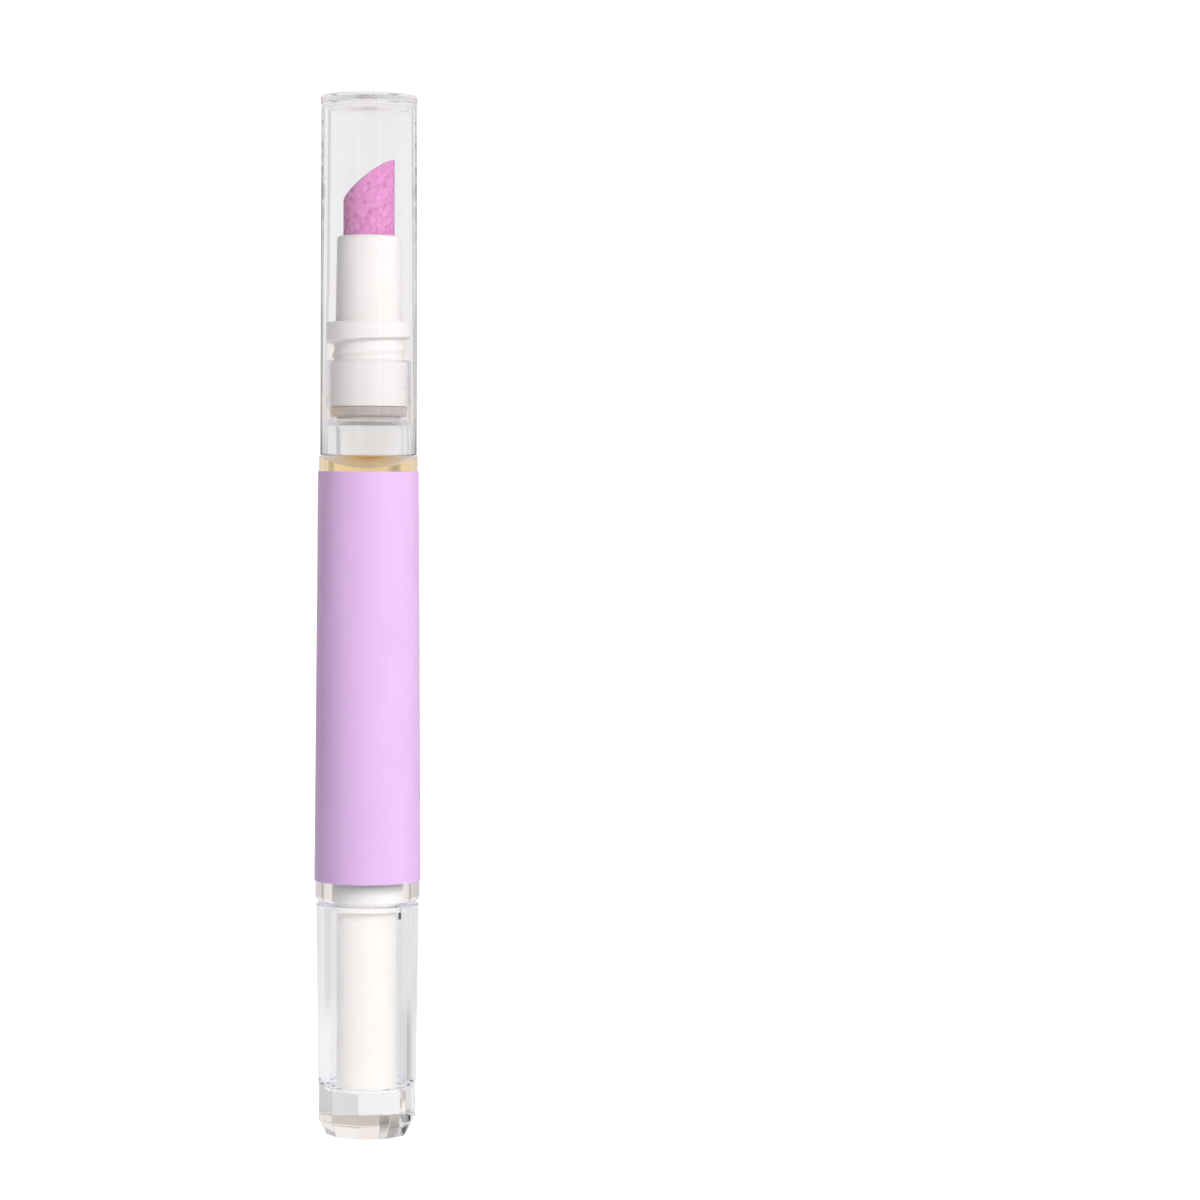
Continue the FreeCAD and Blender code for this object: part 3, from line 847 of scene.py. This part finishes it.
lap_lift = label_rise + label_sink + label_lap_gap
film_rings = []
for step in range(label_steps + 1):
    turned_by = (360 + label_lap) * step / label_steps
    over = min(1, max(0, (turned_by - 360 + label_lap_ramp) / label_lap_ramp))
    film_rings.append(film_section(label_seam + turned_by, lap_lift * over))
label = skin("lilac_wrap", [film_end(film_rings[0])] + film_rings + [film_end(film_rings[-1])])
lilac_film, nodes, links, shader, place = blank_finish("lilac film")
shades(
    nodes,
    links,
    grain(nodes, links, place, 260, (1, 1, 0.4)),
    [(0.3, (0.69, 0.465, 0.765)), (0.7, (0.73, 0.49, 0.8))],
    shader.inputs["Base Color"],
)
spread(nodes, links, grain(nodes, links, place, 1800), 0.36, 0.46, shader.inputs["Roughness"])
relief(nodes, links, grain(nodes, links, place, 6000), 0.002, shader, 0.4)
shader.inputs["Subsurface Weight"].default_value = 0.5
shader.inputs["Subsurface Radius"].default_value = (1.0, 1.0, 1.0)
shader.inputs["Subsurface Scale"].default_value = 0.2 * MM
fit(label, "barrel", "label", lilac_film)
# The film's white back has a painted glow: a bluish-white emission that stands in for light coming
# through the film into the barrel.
film_back_painted_glow, nodes, links, shader, place = blank_finish("white back of the film, painted glow")
gum = grain(nodes, links, place, 500)
gum_tones = [(0.3, (0.78, 0.74, 0.8)), (0.7, (0.84, 0.8, 0.86))]
painted_glow_tones = [(0.3, (0.66, 0.66, 0.96)), (0.7, (0.7, 0.7, 1.0))]
shades(nodes, links, gum, gum_tones, shader.inputs["Base Color"])
# Painted glow on the back of the film, in place of light shining through it.
shades(nodes, links, gum, painted_glow_tones, shader.inputs["Emission Color"])
shader.inputs["Emission Strength"].default_value = 0.72
spread(nodes, links, gum, 0.5, 0.6, shader.inputs["Roughness"])
label.data.materials.append(film_back_painted_glow)
for face in label.data.polygons:
    stand_off = math.hypot(face.center.x, face.center.y) / MM - barrel_surface(face.center.z / MM)
    if abs(face.normal.z) < 0.5 and stand_off < 0:
        face.material_index = 1


# Cap: clear moulded styrene cap, pushed over the neck down to the barrel's shoulder.
# Its bore narrows gently, and its thick end plate has a rounded rim and a small gate mark.
cap_mouth = 78.75
cap_ceiling = 118.95
cap_top = 120.0
cap_mouth_radius = 5.56
cap_waist_radius = 5.48
end_plate_radius = 5.54
end_plate_bottom = 119.0
gate_radius = 0.5
gate_floor_radius = 0.42
gate_floor = cap_top - 0.1
mouth_bore_radius = 5.2
narrowing_bottom = 85.5
narrowing_top = 97.5
narrowing_rounding = 8.0
narrow_bore_radius = 4.94
ceiling_radius = 4.85
cap_corners = [
    (0, gate_floor, 0),
    (gate_floor_radius, gate_floor, 0.04),
    (gate_radius, cap_top, 0.04),
    (end_plate_radius, cap_top, 0.4),
    (end_plate_radius, end_plate_bottom, 0.05),
    (cap_waist_radius, cap_ceiling, 0.05),
    (cap_mouth_radius, cap_mouth, 0.12),
    (mouth_bore_radius, cap_mouth, 0.1),
    (mouth_bore_radius, narrowing_bottom, narrowing_rounding),
    (narrow_bore_radius, narrowing_top, narrowing_rounding),
    (ceiling_radius, cap_ceiling, 0.5),
    (0, cap_ceiling, 0),
]
cap = turned("cap_shell", cap_corners)
clear_cap = clear_moulding(
    "clear cap styrene", (0.965, 0.965, 0.965), (0.945, 0.945, 0.95), ripple=0.003
)
fit(cap, "cap", "cap", clear_cap)


# Studio: white floor and white backdrop for the camera, even light and a soft lamp from the right.
# A light tent is seen only in and through the clear plastic, and its grey bands draw the edges.
floor_radius = 2500
floor_sides = 96
floor_drop = 0.02
backdrop_radius = 5000
tent_radius = 420
ball_rows = 24
ball_sides = 64


def shell_ball(name, radius):
    """Hollow ball about the pen's foot."""
    rings = [[(0, 0, -radius)]]
    for row in range(1, ball_rows):
        lean = math.pi * (row / ball_rows - 0.5)
        rings.append(circle(radius * math.cos(lean), radius * math.sin(lean), ball_sides))
    return skin(name, rings + [[(0, 0, radius)]])


def show_only(stage_object, camera=False, bounce=False):
    """Shows a stage object to the camera, or in gloss and clear plastic, and to nothing else."""
    stage_object.visible_camera = camera
    stage_object.visible_diffuse = False
    stage_object.visible_shadow = False
    stage_object.visible_glossy = bounce
    stage_object.visible_transmission = bounce


floor = skin("floor", [[(0, 0, -floor_drop)], circle(floor_radius, -floor_drop, floor_sides)])
floor_white, nodes, links, shader, place = blank_finish("white floor")
floor_tones = [(0.3, (0.88, 0.88, 0.88)), (0.7, (0.9, 0.9, 0.9))]
shades(nodes, links, grain(nodes, links, place, 3), floor_tones, shader.inputs["Base Color"])
shader.inputs["Roughness"].default_value = 0.8
shader.inputs["Emission Color"].default_value = (1, 1, 1, 1)
shader.inputs["Emission Strength"].default_value = 0.86
floor.data.materials.append(floor_white)
show_only(floor, camera=True)

backdrop = shell_ball("backdrop", backdrop_radius)
backdrop_white, nodes, links, shader, place = blank_finish("white backdrop")
shader.inputs["Base Color"].default_value = (0, 0, 0, 1)
shader.inputs["Emission Color"].default_value = (1, 1, 1, 1)
shader.inputs["Emission Strength"].default_value = 1.04
backdrop.data.materials.append(backdrop_white)
show_only(backdrop, camera=True)

tent = shell_ball("light_tent", tent_radius)
tent_cloth, nodes, links, shader, place = blank_finish("light tent")
tent_cap_bands = [
    (0.0, 0.42),
    (0.1, 0.4),
    (0.168, 0.4),
    (0.178, 0.66),
    (0.188, 0.4),
    (0.25, 0.4),
    (0.312, 0.4),
    (0.322, 0.66),
    (0.332, 0.4),
    (0.42, 0.45),
    (0.56, 0.46),
    (0.6, 0.44),
    (0.638, 0.46),
    (0.648, 0.24),
    (0.66, 0.24),
    (0.672, 0.48),
    (0.7, 0.48),
    (0.75, 0.46),
    (0.788, 0.48),
    (0.803, 0.22),
    (0.815, 0.22),
    (0.83, 0.48),
    (0.9, 0.44),
]
tent_grip_bands = [
    (0.0, 0.4),
    (0.1, 0.4),
    (0.25, 0.42),
    (0.42, 0.45),
    (0.56, 0.46),
    (0.62, 0.43),
    (0.65, 0.46),
    (0.68, 0.43),
    (0.72, 0.46),
    (0.78, 0.45),
    (0.82, 0.5),
    (0.85, 0.44),
    (0.89, 0.4),
    (0.97, 0.42),
]
tent_foot_bands = [
    (0.0, 0.45),
    (0.25, 0.42),
    (0.5, 0.45),
    (0.595, 0.42),
    (0.61, 0.29),
    (0.65, 0.29),
    (0.662, 0.4),
    (0.695, 0.4),
    (0.712, 0.53),
    (0.9, 0.53),
]
tent_upward = [
    (-0.35, (0.75, 0.75, 0.75)),
    (-0.08, (0.86, 0.86, 0.86)),
    (-0.012, (0.9, 0.9, 0.9)),
    (0.0, (0.64, 0.57, 0.52)),
    (0.055, (0.66, 0.6, 0.55)),
    (0.066, (1.0, 0.93, 0.87)),
    (0.138, (1.0, 0.925, 0.865)),
    (0.15, (1.0, 1.0, 1.0)),
]
around = nodes.new("ShaderNodeTexGradient")
around.gradient_type = "RADIAL"
links.new(place, around.inputs["Vector"])
upright = nodes.new("ShaderNodeSeparateXYZ")
links.new(place, upright.inputs["Vector"])
level = nodes.new("ShaderNodeMapRange")
level.inputs["From Min"].default_value = -tent_radius * MM
level.inputs["From Max"].default_value = tent_radius * MM
links.new(upright.outputs["Z"], level.inputs["Value"])
both = nodes.new("ShaderNodeMix")
both.data_type = "RGBA"
both.blend_type = "MULTIPLY"
both.inputs[0].default_value = 1.0


def height_blend(start, end):
    """Mix that goes from its first colour to its second between two heights, in metres."""
    share = nodes.new("ShaderNodeMapRange")
    share.inputs["From Min"].default_value = start
    share.inputs["From Max"].default_value = end
    links.new(upright.outputs["Z"], share.inputs["Value"])
    blend = nodes.new("ShaderNodeMix")
    blend.data_type = "RGBA"
    links.new(share.outputs["Result"], blend.inputs[0])
    return blend


foot_to_grip = height_blend(-0.047, -0.039)
grip_to_cap = height_blend(0.0, 0.055)
for bands, socket in (
    (tent_foot_bands, foot_to_grip.inputs[6]),
    (tent_grip_bands, foot_to_grip.inputs[7]),
    (tent_cap_bands, grip_to_cap.inputs[7]),
):
    tones = [(position, (tone, tone, tone * 1.01)) for position, tone in bands]
    shades(nodes, links, around.outputs["Fac"], tones, socket)
links.new(foot_to_grip.outputs[2], grip_to_cap.inputs[6])
links.new(grip_to_cap.outputs[2], both.inputs[6])
storeys = [(0.5 + height / (2 * tent_radius * MM), tone) for height, tone in tent_upward]
shades(nodes, links, level.outputs["Result"], storeys, both.inputs[7])
links.new(both.outputs[2], shader.inputs["Emission Color"])
shader.inputs["Emission Strength"].default_value = 2.0
shader.inputs["Base Color"].default_value = (0, 0, 0, 1)
shader.inputs["Roughness"].default_value = 1.0
tent.data.materials.append(tent_cloth)
show_only(tent, bounce=True)

surround = bpy.data.worlds.new("dark surround")
surround.use_nodes = True
surround.node_tree.nodes["Background"].inputs["Strength"].default_value = 0.0
bpy.context.scene.world = surround


def set_lamp(name, lamp, place, aim):
    """Stands a lamp at a place, facing a point; it leaves no reflection of itself."""
    lamp.cycles.use_multiple_importance_sampling = False
    stand = bpy.data.objects.new(name, lamp)
    stand.location = place
    stand.rotation_euler = (Vector(aim) - Vector(place)).to_track_quat("-Z", "Y").to_euler()
    stand.visible_glossy = False
    stand.visible_transmission = False
    bpy.context.scene.collection.objects.link(stand)
    return stand


pen_middle = Vector((0, 0, 0.06))
key = bpy.data.lights.new("key lamp", "AREA")
key.shape = "RECTANGLE"
key.size = 0.4
key.size_y = 0.5
key.energy = 8.9
set_lamp("key lamp", key, (0.47, -0.82, 0.4), pen_middle)
wall_light = 0.66
floor_light = 2.2
soft_angle = math.radians(120)
for name, toward, strength in (
    ("right front wall", (1, -1, 0.4), wall_light),
    ("right back wall", (1, 1, 0.4), wall_light),
    ("left back wall", (-1, 1, 0.4), wall_light),
    ("left front wall", (-1, -1, 0.4), wall_light),
    ("light off the floor", (0, 0, -1), floor_light),
):
    glow = bpy.data.lights.new(name, "SUN")
    glow.energy = strength
    glow.angle = soft_angle
    set_lamp(name, glow, pen_middle + Vector(toward), pen_middle)
gathered = bpy.data.lights.new("light gathered by the grip", "SUN")
gathered.energy = 1.1
gathered.angle = soft_angle
in_grip = bpy.data.collections.new("sleeve in the grip")
in_grip.objects.link(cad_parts["drive_sleeve"])
from_left = pen_middle + Vector((-1, -0.5, 0.1))
grip_light = set_lamp("light gathered by the grip", gathered, from_left, pen_middle)
grip_light.light_linking.receiver_collection = in_grip

camera_tilt = math.radians(90 - 2.439)
camera_roll = math.radians(-0.288)
camera_turn = math.radians(-3.645)
light_bounces = 24
camera_data = bpy.data.cameras.new("camera")
camera_data.lens = 108.9
camera_data.sensor_width = 36
camera_data.clip_start = 0.01
camera_data.clip_end = 20
camera = bpy.data.objects.new("camera", camera_data)
camera.location = (0, -0.42, 0.08)
camera.rotation_euler = (camera_tilt, camera_roll, camera_turn)
bpy.context.scene.collection.objects.link(camera)
bpy.context.scene.camera = camera
bpy.context.scene.view_settings.view_transform = "Standard"
bpy.context.scene.cycles.caustics_reflective = False
bpy.context.scene.cycles.caustics_refractive = False
bpy.context.scene.cycles.max_bounces = light_bounces
bpy.context.scene.cycles.transmission_bounces = light_bounces
bpy.context.scene.cycles.glossy_bounces = light_bounces
bpy.context.scene.cycles.transparent_max_bounces = light_bounces
